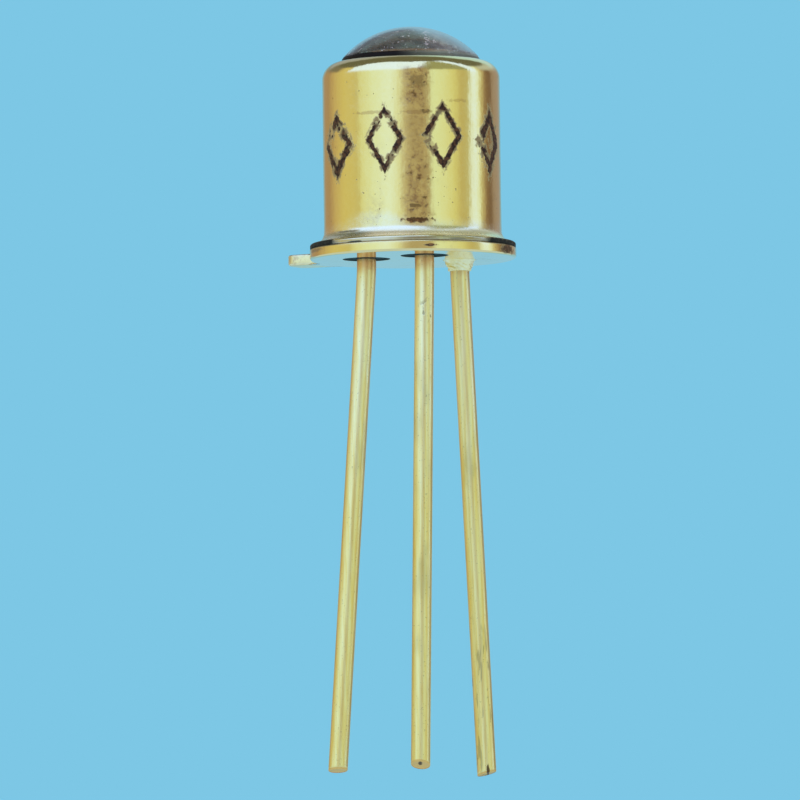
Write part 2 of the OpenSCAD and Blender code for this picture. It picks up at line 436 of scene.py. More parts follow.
# cover and colour of the ink: hollow lozenges whose stroke wavers, with a thin brown fringe and
# worn stretches of beads
def inkOn(pen, unrolled):
    offs = [
        lozengeOff(sideways(pen, degrees) * wallRadius, pen.at[2] - height, halfWidth, stroke)
        for degrees, height, halfWidth, stroke in inkMarks["places"]
    ]
    waver = pen.noise(1.9, 1.0, over=unrolled)
    fray = pen.noise(6.5, 2.0, 0.6, over=unrolled)
    off = reduce(lambda a, b: a.lower(b), offs) / (0.5 + waver) + (fray - 0.5) * 1.5
    kept = pen.noise(1.3, over=unrolled).rise(0.38, 0.46)
    beads = pen.add("TexVoronoi", inputs={"Vector": unrolled, "Scale": 6.0}).rise(0.55, 0.3)
    core = off.rise(1.1, 0.6)
    grit = pen.noise(10.0, 2.0, 0.6, over=unrolled).rise(0.4, 0.58)
    fringe = off.rise(1.8, 1.0) * pen.noise(4.5, over=unrolled).rise(0.44, 0.56) * 0.75
    cover = (core * (kept * 0.8 + 0.2).higher(beads)).higher(fringe) * radialOf(pen.at).rise(2.1, 2.3)
    dense = core * kept.higher(beads) * (grit * 0.6 + 0.4)
    return cover, pen.blend(dense, inkMarks["thin"], inkMarks["colour"])


# a mottled strip down the front, painted reflection of the dark room behind the camera mottled like stains;
# dark flecks in it, a few patches and smears.
# Returns the flecks, the patches and all the dull places.
def stainsAndReflectionOn(pen, side, cloud, speck):
    z = pen.at[2]
    drift = pen.noise(2.3)
    # painted reflection: the strip faces the camera, where the dark room behind it would mirror in the wall
    strip = (side + (drift - 0.5) * 12).window(*canFinish["stainsAndReflection"], 4)
    strip = strip * z.rise(4.98, 4.86) * z.rise(0.75, 0.9)
    worst = z.window(*canFinish["stripLow"], 0.3) + z.window(*canFinish["stripHigh"], 0.2)
    patchy = pen.noise(3.6).rise(0.4, 0.6)
    spots = pen.noise(7.5, 2.0, 0.55)
    darkening = strip * (worst * 0.5 + 0.5) * (patchy * 0.35 + spots.rise(0.46, 0.6) * 0.35)
    flecks = spots.rise(0.6, 0.68) * strip * (worst * 0.6 + 0.15)
    flecks = flecks.higher((speck + cloud * 0.3).rise(0.895, 0.92) * 0.8)
    ragged = (spots - 0.5) * 2.2 + (speck - 0.5) * 1.2
    patch = patches(pen, canFinish["stains"], wallRadius, ragged)
    smear = patches(pen, canFinish["smears"], wallRadius, ragged)
    return flecks, patch, highest([smear, darkening, patch])


# how far the brim's edge is bare, and how far it is black: at both visible ends in painted shade,
# in a dark line in the fillet at the left and in a few marks
def brimWearAndShade(pen, side, fine, mottle):
    z, radial, brimTop = pen.at[2], radialOf(pen.at), canFinish["brimTop"]
    # painted shade at the brim's two visible ends, where the seam is seen along its length
    ends = (abs(side + 2) + (mottle - 0.5) * 9).rise(*canFinish["shadedEnds"])
    onBrim = z.rise(brimTop + 0.03, brimTop - 0.02) * radial.rise(*canFinish["brimFrom"])
    bare = radial.rise(*canFinish["brimBareFrom"]) * z.rise(brimTop - 0.03, brimTop - 0.06)
    bare = bare * (0.7 + fine * 0.5).lower(1.0)
    middle, height, reach, half = canFinish["filletLine"]
    filletLine = (z + (fine - 0.5) * 0.05).window(height - half, height + half, half)
    filletLine = filletLine * abs(side - middle).rise(reach, reach * 0.45)
    marks = patches(pen, canFinish["brimMarks"], canFinish["brimRadius"], (fine - 0.5) * 1.2) * onBrim
    return bare, highest([onBrim * ends * (0.75 + fine * 0.5), filletLine * 0.85, marks * 0.8]).lower(1.0)


def makeCanPlating():
    pen = paint("canPlating")
    z, radial, away = pen.at[2], radialOf(pen.at), sideways(pen)
    side = inDegrees(away)
    unrolled = pen.add("CombineXYZ", inputs={0: away * wallRadius, 1: z})
    cloud = pen.noise(0.9, 4.0)
    fine = pen.noise(9.0, 3.0, 0.6)
    mottle = pen.noise(4.2, 2.0, 0.55)
    speck = pen.noise(12.0)
    ink, inkColour = inkOn(pen, unrolled)
    flecks, patch, stainsAndReflection = stainsAndReflectionOn(pen, side, cloud, speck)
    # the dull places take in the painted reflection strip down the front
    dull = (cloud.rise(0.6, 0.78) * fine.rise(0.35, 0.65) * 0.3).higher(stainsAndReflection)
    bare, oxideAndShade = brimWearAndShade(pen, side, fine, mottle)
    wornTop = canFinish["wornHeight"] + canFinish["wornExtra"] * side.window(-46, -9, 9)
    wornTop = wornTop + (mottle - 0.5) * 0.3
    worn = z.rise(wornTop + 0.15, wornTop - 0.15) * z.rise(0.52, 0.64) * (0.3 + fine).lower(1.0)
    fillet = z.rise(*canFinish["filletTop"]) * radial.rise(*canFinish["filletOut"])
    colour = pen.coats(
        pen.blend(fine, gold["fresh"], gold["pale"]),
        (fillet, gold["fillet"]),
        (worn.higher(fillet * side.rise(10, -4) * 0.8), gold["bare"]),
        (bare, pen.blend(side.rise(-16, 0), *canFinish["brimBare"])),
        (dull, gold["brown"]),
        (flecks, gold["spot"]),
        ((patch * 1.2).lower(1.0) * fine.rise(0.3, 0.5) * 0.6, gold["oxideAndShade"]),
        (oxideAndShade, gold["oxideAndShade"]),
        (ink, inkColour),
    )
    metallic = 1.0 - highest([ink, oxideAndShade, fillet * side.window(-30, 55, 8) * 0.38])
    roughness = canFinish["roughness"] + fine * 0.05 + dull * 0.14 + ink * 0.3 + worn * 0.14
    roughness = roughness + fillet * 0.14 + bare * 0.12 + oxideAndShade * 0.4
    sway = pen.noise(1.4, 1.0)
    streak = pen.noise((11.0, 0.5, 1.0), 3.0, over=unrolled)
    height = mottle * 0.5 + sway * 1.3 + streak * 0.2 + fine * 0.15 + ink * 0.35 - flecks * 0.3
    return pen.finish(pen.principled(colour, metallic, roughness, (height, 0.5, 0.016), dielectric))


can = {
    "around": 288,
    "wall": 0.2,
    "shoulder": 0.45,
    "shoulderInside": 0.25,
    "openingRadius": 1.84,
    "lip": 0.02,  # rounding of the opening's edge
    "brimThickness": 0.14,
    "brimEdge": 0.06,
    "brimLow": 0.03,  # rounding of the brim's lower edge, beside the seam
    "foot": 0.3,
    "footInside": 0.1,
    "waver": 0.004,  # depth of the drawn wall's shallow waves
    "waverFade": 0.12,  # they fade out within this distance of the wall
}


# profile of the can's section, anticlockwise: brim, fillet, wall, shoulder, top, opening, inside
def canProfile():
    low, high = boxOf("can_shell")
    brim, seam, top = high[0], low[2], high[2]
    inner, topInside = wallRadius - can["wall"], top - can["wall"]
    brimTop = seam + can["brimThickness"]
    shoulder, hollow, opening, lip = pick(can, "shoulder", "shoulderInside", "openingRadius", "lip")
    edge, lowEdge, foot, footInside = pick(can, "brimEdge", "brimLow", "foot", "footInside")
    return np.vstack([
        span((inner + footInside, seam), (brim - lowEdge, seam), 10),
        arc(brim - lowEdge, seam + lowEdge, lowEdge, -90, 0, 6)[1:],
        arc(brim - edge, brimTop - edge, edge, 0, 90, 10),
        arc(wallRadius + foot, brimTop + foot, foot, 270, 180, 16),
        span((wallRadius, brimTop + foot), (wallRadius, top - shoulder), 60)[1:-1],
        arc(wallRadius - shoulder, top - shoulder, shoulder, 0, 90, 28),
        arc(opening + lip, top - lip, lip, 90, 180, 6),
        span((opening, top - 2 * lip), (opening, topInside), 4),
        arc(inner - hollow, topInside - hollow, hollow, 90, 0, 14),
        span((inner, topInside - hollow), (inner, seam + footInside), 24)[1:-1],
        arc(inner + footInside, seam + footInside, footInside, 180, 270, 8)[:-1],
    ])


# the waves only take metal off
def makeCan():
    profile = canProfile()
    rows = turned(profile, can["around"])
    deep = lumps(circle(can["around"]), profile[:, 1:], 11, 9, 7, 3.0)
    onWall = np.exp(-((profile[:, :1] - wallRadius) / can["waverFade"]) ** 2)
    rows[:, :, :2] *= (1 - can["waver"] * deep * onWall / profile[:, :1])[:, :, None]
    addPiece("canShell", skin(rows, "ring"), makeCanPlating(), "can_shell")


makeCan()
print("can made")


# Window

windowFinish = {
    "ring": 5.37,  # dark ring below this height, greyer on the right of the first side
    "ringSide": (-14.0, 24.0),
    "hazeHighlight": (4.0, 34.0),  # the film thickens between these sides, a painted highlight on the right of the glass
    "filmFrom": (5.18, 5.26),  # film and ring begin between these heights, inside the can it is clear
    "ringFrom": (5.05, 5.15),
    "glints": (0.43, 0.09, 5.76, 0.36),  # painted highlights, a small pale cluster: how far right, half width, height, half height
}


# clear, slightly smoky glass with a dark ring at its foot, a film that thickens into a painted highlight on
# one side, a little dirt with a cluster of painted highlights and a painted reflection round the rim
def makeWindowGlass():
    pen = paint("windowGlass")
    z, radial, away = pen.at[2], radialOf(pen.at), sideways(pen)
    side = inDegrees(away)
    cloud = pen.noise(2.6, 4.0, 0.6)
    grain = pen.noise(7.0, 3.0, 0.6)
    smear = cloud.rise(0.45, 0.75)
    tint = pen.blend(smear * 0.5, (0.66, 0.6, 0.66), (0.5, 0.46, 0.51))
    clear = {"IOR": 1.5, "Transmission Weight": 1.0}
    glass = pen.principled(tint, 0.0, 0.05 + smear * 0.08, (cloud, 0.12, 0.01), clear)
    filmColour = pen.blend(grain.rise(0.4, 0.65), (0.4, 0.37, 0.42), (0.52, 0.53, 0.56))
    film = pen.principled(filmColour, 0.0, 0.7, None, {"Specular IOR Level": 0.2})
    # painted highlight: the film covers more of the glass towards its right side
    hazeHighlight = side.rise(*windowFinish["hazeHighlight"]) * side.rise(120, 90) * radial.rise(0.1, 0.7)
    # a small cluster of painted highlights on the right, among fine dirt
    offset, halfWidth, middle, halfHeight = windowFinish["glints"]
    across = (radial * pen.maths("SINE", away) - offset) / halfWidth
    above = (z - middle) / halfHeight
    near = radialOf((across, above)).rise(1.4, 0.3) * side.window(-80, 80, 10)
    dustAndGlints = (pen.noise(9.0, 2.0, 0.6) + near * 0.15).rise(0.64, 0.71)
    cover = 0.1 + smear * 0.08 + (grain - 0.5) * 0.14 + hazeHighlight * 0.24 + dustAndGlints * 0.6
    glass = pen.mix(cover * z.rise(*windowFinish["filmFrom"]), glass, film)
    # painted reflection of the pale backdrop round the rim, more so on the right
    edgeOn = pen.add("LayerWeight", inputs={"Blend": 0.5}, out="Facing")
    sheen = pen.principled((0.25, 0.47, 0.58, 1.0), 0.0, 0.8, None, {"Specular IOR Level": 0.1})
    rim = edgeOn.rise(0.68 - side.rise(-10, 26) * side.rise(150, 110) * 0.17, 0.9) * z.rise(5.36, 5.5)
    glass = pen.mix(rim * 0.95, glass, sheen)
    paler = side.rise(*windowFinish["ringSide"]) * side.rise(130, 100)
    dark = pen.blend(paler, (0.01, 0.007, 0.008), (0.17, 0.19, 0.16))
    darkBand = pen.principled(dark, 0.0, 0.45, None, {"Specular IOR Level": 0.1})
    ring = (z + (grain - 0.5) * 0.03).rise(windowFinish["ring"] + 0.03, windowFinish["ring"])
    return pen.finish(pen.mix(ring * z.rise(*windowFinish["ringFrom"]) * (1 - paler * 0.4), glass, darkBand))


window = {
    "around": 224,
    "gap": 0.004,  # keeps the glass off the metal it is fused to
    "domeRadius": 2.415,
    "edgeHeight": 0.1,
    "edgeRound": 0.03,
    "hollow": 0.06,
}


# profile of the glass: hollow underside, skirt, plug, upright edge, dome
def windowProfile():
    low, high = boxOf("lens")
    top, corner = boxOf("can_shell")[1][2], can["shoulderInside"]
    gap, dome, edgeHeight, edge = pick(window, "gap", "domeRadius", "edgeHeight", "edgeRound")
    inner, topInside = wallRadius - can["wall"] - gap, top - can["wall"] - gap
    neck, edgeTop = can["openingRadius"] - gap, top + edgeHeight
    share = np.linspace(0.004, 1, 24)[:, None]
    reach = np.degrees(asin((neck - edge) / dome))
    return np.vstack([
        np.hstack([share * inner, low[2] + window["hollow"] * (1 - share ** 2)]),
        span((inner, low[2]), (inner, topInside - corner), 8)[1:-1],
        arc(inner - corner, topInside - corner, corner, 0, 90, 12),
        span((inner - corner, topInside), (neck, topInside), 3)[1:],
        span((neck, topInside), (neck, edgeTop - edge), 8)[1:-1],
        arc(neck - edge, edgeTop - edge, edge, 0, 50, 6),
        arc(0, high[2] - dome, dome, 90 - reach, 89.9, 60)[1:],
    ])


glassShell = skin(turned(windowProfile(), window["around"]))
addPiece("windowGlass", glassShell, makeWindowGlass(), "lens")
print("window made")


# Header

header = {
    "around": 240,
    "flange": 2.74,
    "thickness": 0.29,
    "lowEdge": 0.07,
    "topEdge": 0.04,
    "platform": 2.05,
    "platformTop": 0.84,
    "platformEdge": 0.06,
    "tabReach": 3.73,
    "tabHalf": 0.5,
    "tabCorner": 0.32,
    "tabNook": 0.08,  # small fillet where the tab leaves the flange
    "tabDirection": 135.0,
    "boreEdge": 0.015,  # broken edge of the holes
    "boreAround": 72,
    "dimple": 0.05,
    "flatRing": 0.02,  # flat stretch inside the lower edge and round each hole
}
tabTurn = radians(header["tabDirection"])
tabCosine, tabSine = cos(tabTurn), sin(tabTurn)

headerFinish = {
    "groove": 0.262,  # the seam is dark above this height
    "edge": (2.66, 2.9),  # radii of the flange's edge, of the seam and of the tab's root
    "seam": (2.62, 3.0),
    "tabRoot": (2.8, 2.95),
    # marks on the flange's edge: degrees to the right, height, half width, half height, depth
    "marks": ((8.9, 0.15, 0.2, 0.036, 1.0), (66.0, 0.15, 0.42, 0.12, 1.0), (-72.0, 0.2, 0.5, 0.05, 0.5)),
    "tab": (0.98, 0.88, 0.58),
    "underside": ((0.93, 0.78, 0.5), (0.99, 0.76, 0.38)),
}


def makeHeaderPlating():
    pen = paint("headerPlating")
    z, radial = pen.at[2], radialOf(pen.at)
    side = inDegrees(abs(sideways(pen)))
    cloud = pen.noise(0.8, 3.0)
    fine = pen.noise(8.0, 3.0, 0.6)
    scratch = pen.noise((3.0, 22.0, 6.0), 3.0, 0.6)
    onEdge = radial.window(*headerFinish["edge"], 0.03) * z.rise(0.01, 0.04)
    mark = patches(pen, headerFinish["marks"], header["flange"], (fine - 0.5) * 2.4) * onEdge
    seam = patches(pen, canFinish["brimMarks"], header["flange"], (fine - 0.5) * 1.2)
    dull = (cloud.rise(0.52, 0.72) * fine.rise(0.4, 0.65) * 0.35).higher(mark)
    groove = headerFinish["groove"]
    oxideAndShade = z.rise(groove - 0.02, groove + 0.008) * radial.window(*headerFinish["seam"], 0.03)
    # the seam turns fully dark at its two visible ends, painted shade where it is seen along its length
    oxideAndShade = oxideAndShade * (0.12 + fine * 0.15 + side.rise(38, 50) * 0.7).lower(1.0)
    oxideAndShade = highest([oxideAndShade, seam * 0.85, mark * fine.rise(0.3, 0.5) * 0.7])
    under, onTab = z.rise(0.04, 0.01), radial.rise(*headerFinish["tabRoot"])
    mottle = pen.noise(1.7, 3.0).rise(0.35, 0.65)
    colour = pen.coats(
        pen.blend(fine, gold["fresh"], gold["pale"]),
        (onTab, headerFinish["tab"]),
        (under * 0.7, pen.blend(mottle, *headerFinish["underside"])),
        (dull, gold["brown"]),
        (oxideAndShade, gold["oxideAndShade"]),
    )
    roughness = 0.12 + dull * 0.25 + fine * 0.05 + oxideAndShade * 0.4 + onTab * 0.25 - under * 0.06
    height = scratch * 0.3 + fine * 0.25 + cloud * 0.5
    return pen.finish(pen.principled(colour, 1.0 - oxideAndShade, roughness, (height, 0.3, 0.01), dielectric))


# outline of flange and tab, all points moved inwards by inset: arcs about fixed centres, convex
# ones smaller by the inset, nooks larger, straight lines between them, and the same mirrored
def flangeOutline(inset):
    flange, half, corner, nook = pick(header, "flange", "tabHalf", "tabCorner", "tabNook")
    nookX = sqrt((flange + nook) ** 2 - (half + nook) ** 2)
    lean = np.degrees(atan2(half + nook, nookX))
    out = header["tabReach"] - corner
    disc = arc(0, 0, flange - inset, lean, 360 - lean, header["around"])
    nook1 = arc(nookX, -half - nook, nook + inset, 180 - lean, 90, 10)
    corner1 = arc(out, -half + corner, corner - inset, -90, 0, 12)
    side = np.vstack([nook1, span(nook1[-1], corner1[0], 8)[1:-1], corner1])
    other = side[::-1] * (1, -1)
    end = span(side[-1], other[0], 6)[1:-1]
    x, y = np.vstack([disc, side[1:], end, other[:-1]]).T
    return columns(x * tabCosine - y * tabSine, x * tabSine + y * tabCosine)


# which points lie on the flat underside of flange and tab, whose edge is that far in
def onUnderside(points, inset):
    x, y = points.T
    along = x * tabCosine + y * tabSine
    aside = np.abs(y * tabCosine - x * tabSine)
    wide = header["tabHalf"] + (header["tabNook"] + inset) * 0.2
    onTab = (along > 0) & (aside < wide) & (along < header["tabReach"] - inset)
    return (np.hypot(x, y) < header["flange"] - inset) | onTab


def atHeight(outline, z):
    return np.hstack([outline, np.full((len(outline), 1), z)])


# a flat face at height z inside an outline and outside its round holes, facing up or down
def flatFace(outline, holes, z, up, inside):
    around = header["boreAround"]
    rims = [turned(np.array([(radius, z)]), around, centre)[0, :, :2] for centre, radius in holes]
    edges, start = [], 0
    for loop in (outline, *rims):
        index = np.arange(len(loop)) + start
        edges += columns(index, np.roll(index, -1)).tolist()
        start += len(loop)
    flat = [Vector(point) for point in np.vstack([outline, *rims])]
    made = delaunay_2d_cdt(flat, edges, [], 0, 1e-7)
    points = np.array([[p.x, p.y] for p in made[0]])
    tris = np.array([list(face) for face in made[2]])
    middle = points[tris].mean(axis=1)
    keep = inside(middle)
    for centre, radius in holes:
        keep &= np.hypot(*(middle - centre).T) > radius * 0.9995
    tris = tris[keep]
    a, b, c = points[tris].transpose(1, 2, 0)
    turning = (b - a)[0] * (c - a)[1] - (b - a)[1] * (c - a)[0]
    wrong = (turning > 0) != up
    tris[wrong] = tris[wrong][:, ::-1]
    return atHeight(points, z), np.zeros((0, 4), int), tris


# merges coincident points in place, so that separate skins become one closed surface
def weldPoints(piece, distance):
    shape = bmesh.new()
    shape.from_mesh(piece.data)
    bmesh.ops.remove_doubles(shape, verts=shape.verts, dist=distance * metre)
    shape.to_mesh(piece.data)
    shape.free()


def makeHeader():
    plans = [planOf(node) for node in ("seal_emitter", "seal_base", "collector_weld")]
    low, top, edge, thick = pick(header, "lowEdge", "topEdge", "platformEdge", "thickness")
    platform, platformTop, around = pick(header, "platform", "platformTop", "boreAround")
    broken, ring, dimple = pick(header, "boreEdge", "flatRing", "dimple")
    underside = flangeOutline(low + ring)
    rows = [atHeight(underside, 0.0)]
    turn = np.radians(np.linspace(0, 90, 7))
    rows += [atHeight(flangeOutline(low * (1 - sin(t))), low * (1 - cos(t))) for t in turn]
    upper = thick - top
    rows += [atHeight(flangeOutline(top * (1 - cos(t))), upper + top * sin(t)) for t in turn]
    x, y = flangeOutline(top).T
    heading = np.arctan2(y, x)
    ways = columns(np.cos(heading), np.sin(heading))
    rows += [atHeight(ways * platform, z) for z in np.linspace(thick, platformTop - edge, 5)]
    rows += [atHeight(ways * r, z) for r, z in arc(platform - edge, platformTop - edge, edge, 0, 90, 7)[1:]]
    holes = [(centre, radius + broken + ring) for centre, radius in plans]
    shells = [
        skin(np.array(rows), "open"),
        flatFace(underside, holes, 0.0, False, lambda p: onUnderside(p, low + ring)),
        flatFace(rows[-1][:, :2], holes[:2], platformTop, True, lambda p: np.hypot(*p.T) < platform),
    ]
    for centre, radius in plans[:2]:
        wide = radius + broken
        bore = [
            (wide + ring, platformTop), (wide, platformTop), (radius, platformTop - broken),
            (radius, broken), (wide, 0.0), (wide + ring, 0.0),
        ]
        shells.append(skin(turned(np.array(bore), around, centre), "open"))
    centre, radius = plans[2]
    wide = radius + broken
    cup = [(0.1, dimple), (radius, dimple), (wide, 0.0), (wide + ring, 0.0)]
    points, quads, tris = skin(turned(np.array(cup), around, centre))
    shells.append((points, quads, tris[:around]))
    piece = addPiece("headerDisc", joined(shells), makeHeaderPlating(), "header")
    weldPoints(piece, 1e-4)


makeHeader()
print("header made")


# Glass seals

seal = {"around": 96, "dip": 0.045, "gap": 0.003}


def makeSealGlass():
    pen = paint("sealGlass")
    swirl = pen.noise(6.0, 3.0)
    bubbles = pen.noise(20.0, 1.0).rise(0.65, 0.7)
    colour = pen.blend(swirl, (0.008, 0.018, 0.018), (0.035, 0.06, 0.058))
    relief = (bubbles + swirl * 0.4, 0.15, 0.006)
    return pen.finish(pen.principled(colour, 0.0, 0.5 + swirl * 0.1, relief, {"Specular IOR Level": 0.05}))


# ring section: meniscus below, outer wall up, meniscus across the top, inner wall down; a
# meniscus dips as the 0.6th power of a sine
def makeSeals():
    glass = makeSealGlass()
    for lead in ("emitter", "base"):
        node = "seal_" + lead
        low, high = boxOf(node)
        centre, half = planOf(node)
        outer, inner = half - seal["gap"], mountOf(lead + "_pin")[2] + seal["gap"]
        share = np.linspace(0, 1, 15)[:, None]
        dip = seal["dip"] * np.sin(pi * share) ** 0.6
        across = inner + (outer - inner) * share
        profile = np.vstack([np.hstack([across, low[2] + dip]), np.hstack([across, high[2] - dip])[::-1]])
        shell = skin(turned(profile, seal["around"], centre), "ring")
        addPiece("seal" + lead.capitalize(), shell, glass, node)


makeSeals()
print("seals made")


# Leads

leads = {
    "around": 56,
    "bend": 6.0,  # radius of the bend below the header
    "chamfer": 0.03,
    "steps": 110,
    "capRows": 7,
    "capMiddle": 0.004,
    "dimple": 0.03,
    "sheared": 0.45,  # length of wire that the slanted cut distorts
    # the node at the root, slant of the cut face, degrees of its short side from the camera's
    # side, and how much of the tip is cut away altogether
    "cuts": {
        "emitter": ("seal_emitter", 0.1, 25.0, 0.02),
        "base": ("seal_base", 0.2, -10.0, 0.0),
        "collector": ("collector_weld", 0.12, 60.0, 0.0),
    },
}

leadFinish = {
    "rootShadeDepth": 0.5,  # painted shade and reflection of the dark seals below the header
    "golden": (-2.0, -7.5),  # the plating grows deeper in colour between these heights
    "scuffed": (-9.0, -10.5),  # and the collector lead is scuffed below these
    "scuffedSide": (1.2, 1.5),  # the only lead that stands beyond these
    # dark spots by the tips, painted shade and reflection on the base lead's cut end and a dark streak on
    # the collector's: lead, how far right of its middle, height over the tip, half sizes
    "stains": (("base", -0.01, 0.15, 0.055, 0.05), ("collector", 0.03, 0.16, 0.04, 0.16)),
    "dent": (0.1, -1.46, -1.45),  # nicks on the base lead
    "dentReach": 0.42,
    "light": ((0.95, 0.77, 0.37), (0.98, 0.89, 0.57)),
    "deep": ((0.93, 0.7, 0.26), (0.97, 0.83, 0.42)),
    "core": (0.88, 0.55, 0.19),
    # reddish brown of the painted shade where the leads leave the header
    "root": (0.78, 0.44, 0.2),
    "dull": (0.2, 0.14, 0.06),
    "darkening": (0.08, 0.028, 0.016),
}


# where a lead ends: middle of the tip, the wire's axis and radius, and the way to the cut's
# short side
def tipOf(name):
    _, _, slantAt, trim = leads["cuts"][name]
    point, axis, radius = mountOf(name + "_pin")
    level = boxOf("lead_" + name)[0][2] + radius * sin(acos(-axis[2])) + trim
    short = facing + radians(slantAt)
    middle = point + axis * (level - point[2]) / axis[2]
    return middle, axis, radius, np.array([cos(short), sin(short), 0])


# how far a point shows the wire's bare core: beyond the plane of a lead's slanted cut
def coreAt(name, x, y, z):
    (mx, my, mz), axis, radius, towards = tipOf(name)
    setback = leads["cuts"][name][1] * 0.5
    nx, ny, nz = axis + towards * setback / radius
    beyond = (x - mx) * nx + (y - my) * ny + (z - mz) * nz + setback
    return beyond.rise(-0.065, -0.04) * radialOf((x - mx, y - my)).rise(0.6, 0.4)


# how deep a point lies in the dark spot by a lead's tip, an ellipse as the camera's side sees it
def tipDarkAt(x, y, z, ragged, name, aside, height, halfWidth, halfHeight):
    mx, my, mz = tipOf(name)[0]
    across = ((y - my) * cos(facing) - (x - mx) * sin(facing) - aside) / halfWidth
    return spotAt(across, (z - mz - height) / halfHeight, ragged) * abs(x - mx).rise(0.6, 0.4)


def makeLeadPlating():
    pen = paint("leadPlating")
    x, y, z = pen.at
    drawn = pen.noise((15.0, 15.0, 0.45), 3.0, 0.6)
    fine = pen.noise(14.0, 3.0, 0.6)
    cloud = pen.noise((2.2, 2.2, 0.6), 3.0)
    # painted shade and reflection of the dark seals where the leads leave the header
    root = z.rise(-leadFinish["rootShadeDepth"], -0.1) * pen.noise(5.0, 3.0).rise(0.22, 0.5)
    dx, dy, dz = (part - at for part, at in zip((x, y, z), leadFinish["dent"]))
    reach = leadFinish["dentReach"]
    near = ((dx * dx + dy * dy + dz * dz) ** 0.5).rise(reach, reach * 0.4)
    nicks = pen.noise((9.0, 9.0, 5.0), 1.0).rise(0.56, 0.62) * near
    pits = pen.noise(20.0, 1.0).rise(0.66, 0.74)
    core = highest(coreAt(name, x, y, z) for name in leads["cuts"])
    # dark spots by the tips: painted shade and reflection on the base lead's cut end, a dark streak on the
    # collector's
    darkening = highest(tipDarkAt(x, y, z, (fine - 0.5) * 1.2, *darkening) for darkening in leadFinish["stains"])
    scuff = pen.noise((10.0, 10.0, 1.1)).rise(0.56, 0.64)
    scuff = scuff * z.rise(*leadFinish["scuffed"]) * x.rise(*leadFinish["scuffedSide"])
    dull = (cloud.rise(0.52, 0.75) * 0.3 + pits * 0.4 + nicks * 0.9 + scuff * 0.6).lower(0.95)
    pale, deep = drawn.rise(0.35, 0.65), z.rise(*leadFinish["golden"])
    colour = pen.coats(
        pen.blend(deep, pen.blend(pale, *leadFinish["light"]), pen.blend(pale, *leadFinish["deep"])),
        (core, leadFinish["core"]),
        (root * 0.9, leadFinish["root"]),
        (dull * 0.7, leadFinish["dull"]),
        (darkening * 0.9, leadFinish["darkening"]),
    )
    roughness = 0.34 + drawn * 0.06 + dull * 0.15 + core * 0.12
    height = drawn * 0.3 + fine * 0.3 - pits * 0.3 - nicks * 1.2
    return pen.finish(pen.principled(colour, 1.0, roughness, (height, 0.5, 0.008)))


# centre line: upright, then an arc tangent to both, then along the wire's axis to the tip; all
# in the plane of the lean. Returns lengths, points, tangents and the direction of the lean.
def leadLine(root, top, tip, axis):
    lean, bend, upright = acos(-axis[2]), leads["bend"], np.array([0, 0, 1])
    side = np.array([axis[0], axis[1], 0]) / hypot(axis[0], axis[1])
    elbow = tip[2] - axis[2] * ((tip[:2] - root) @ side[:2]) / (axis[:2] @ side[:2])
    tangent = bend * tan(lean / 2)
    straight = top - elbow - tangent
    total = straight + bend * lean + (elbow - tip[2]) / cos(lean) - tangent
    s = np.linspace(0, total, leads["steps"])
    turn = np.clip((s - straight) / bend, 0, lean)
    rest = np.clip(s - straight - bend * lean, 0, None)
    out = bend * (1 - np.cos(turn)) + rest * sin(lean)
    down = np.minimum(s, straight) + bend * np.sin(turn) + rest * cos(lean)
    points = np.append(root, top) + out[:, None] * side - down[:, None] * upright
    return s, points, np.sin(turn)[:, None] * side - np.cos(turn)[:, None] * upright, side


# a round bar along the line. Rows of the cap run from the rolled edge to the middle of the
# cut face, which is dimpled; near the tip every row slides back on the slant's short side.
def makeLead(name, plating):
    node = "lead_" + name
    rootNode, slant, _, _ = leads["cuts"][name]
    tip, axis, radius, towards = tipOf(name)
    s, line, tangent, side = leadLine(planOf(rootNode)[0], boxOf(node)[1][2], tip, axis)
    chamfer = leads["chamfer"]
    cap = np.linspace(0, 1, leads["capRows"])
    capSize = (radius - chamfer) * (1 - cap) + leads["capMiddle"]
    capBack = leads["dimple"] * (1 - (capSize / radius) ** 2)
    roll = np.radians(np.linspace(90, 0, 5))[:-1]
    rollSize = radius - chamfer * (1 - np.cos(roll))
    rollAt = chamfer * (1 - np.sin(roll))
    at = np.concatenate([cap * 0, rollAt, s[1:-1], s[-1] - rollAt[::-1], s[-1] - capBack])
    size = np.concatenate([capSize[::-1], rollSize, s[1:-1] * 0 + radius, rollSize[::-1], capSize])
    centre, along = (columns(*[np.interp(at, s, part) for part in track.T]) for track in (line, tangent))
    across = np.cross(side, (0, 0, 1.0))
    turn = circle(leads["around"])[None, :, None]
    reach = np.cos(turn) * np.cross(along, across)[:, None, :] + np.sin(turn) * across
    rows = centre[:, None, :] + size[:, None, None] * reach
    near = np.clip(1 - (s[-1] - at) / leads["sheared"], 0, 1)[:, None] ** 1.5
    back = slant * near * (0.5 + 0.5 * size[:, None] / radius * (reach @ towards))
    rows -= back[:, :, None] * along[:, None, :]
    addPiece("lead" + name.capitalize(), skin(rows), plating, node, 50.0)


leadPlating = makeLeadPlating()
for name in leads["cuts"]:
    makeLead(name, leadPlating)
print("leads made")


# Weld bead of the collector lead

bead = {
    "around": 144,
    "rows": 40,
    "gap": 0.002,
    "lip": 0.02,
    "lump": 0.06,
    "colours": ((1.0, 0.87, 0.48), (1.0, 0.92, 0.6)),
}


def makeWeldMetal():
    pen = paint("weldMetal")
    grain = pen.noise(11.0, 4.0, 0.65)
    coarse = pen.noise(3.6)
    colour = pen.blend(coarse.rise(0.35, 0.65), *bead["colours"])
    colour = pen.blend(grain.rise(0.58, 0.74) * 0.25, colour, gold["copper"])
    return pen.finish(pen.principled(colour, 1.0, 0.34 + grain * 0.2, (grain * 0.7 + coarse, 0.7, 0.03)))


